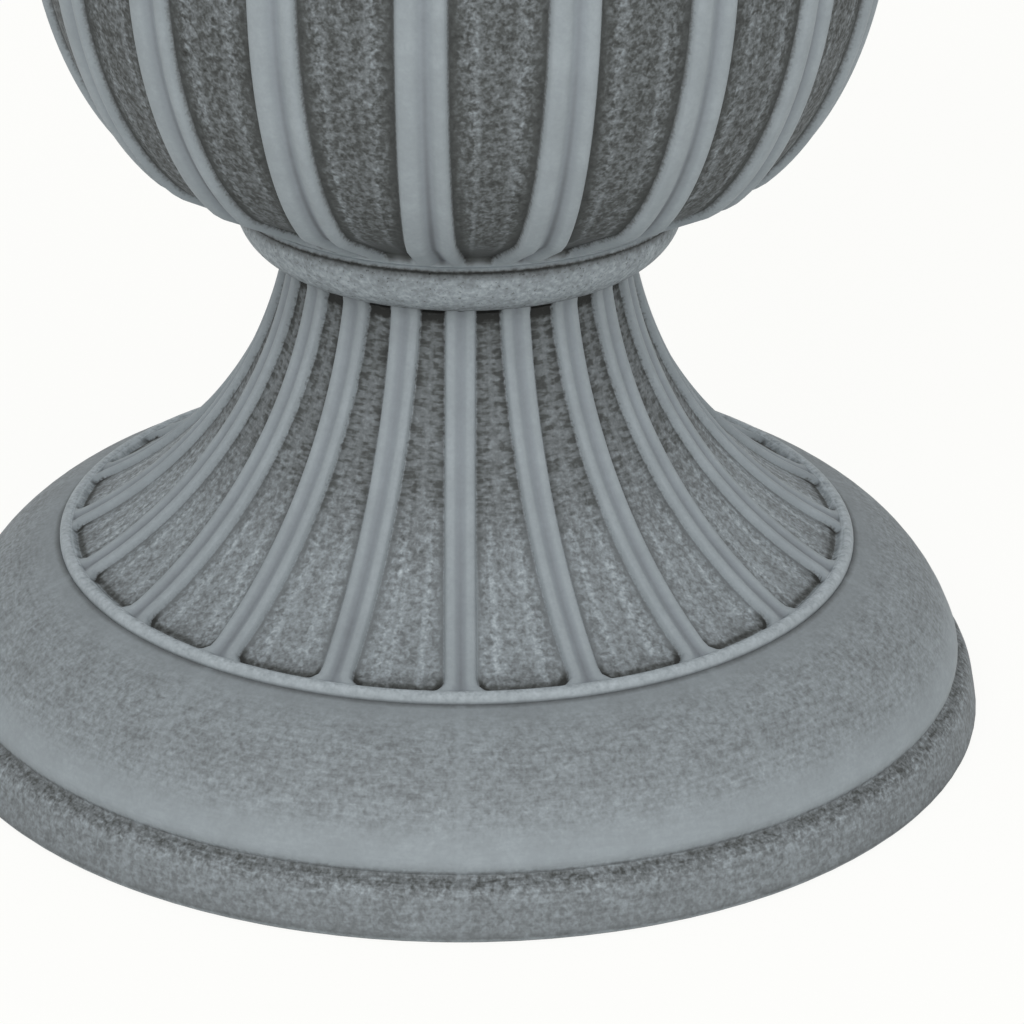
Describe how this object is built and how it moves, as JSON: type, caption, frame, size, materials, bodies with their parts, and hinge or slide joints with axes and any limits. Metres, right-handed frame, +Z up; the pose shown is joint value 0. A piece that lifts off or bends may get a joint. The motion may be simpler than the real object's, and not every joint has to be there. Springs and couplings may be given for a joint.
{
  "type": "urn planter",
  "caption": "Moulded garden urn: fluted bowl with flared rolled rim, screwed through a trim collar to a fluted hollow pedestal; pull-out drain plug in the floor.",
  "frame": {"origin": "on the ground, at the centre of the round foot", "axes": "+Z up along the urn's axis; -Y is the front, where a rib of the pedestal faces"},
  "size_m": [0.376, 0.376, 0.442],
  "materials": {
    "stone_finish_resin": "charcoal resin brushed with pale blue-grey on ribs, beads and edges; sand-like speckle in the panels",
    "plated_steel": "zinc plated",
    "black_rubber": "matt sealing rubber",
    "plug_rubber": "satin moulded rubber"
  },
  "bodies": {
    "urn": {"pedestal": "stone_finish_resin", "neck_collar": "stone_finish_resin", "bowl": "stone_finish_resin", "bowl_screw_1": "plated_steel", "bowl_screw_2": "plated_steel", "bowl_screw_3": "plated_steel", "bowl_screw_4": "plated_steel", "screw_washer_1": "black_rubber", "screw_washer_2": "black_rubber", "screw_washer_3": "black_rubber", "screw_washer_4": "black_rubber"},
    "plug": {"drain_plug": "plug_rubber"}
  },
  "joints": [
    {"name": "plug_pull", "type": "slide", "parent": "urn", "child": "plug", "axis": [0, 0, 1], "range_m": [0, 0.03]}
  ]
}
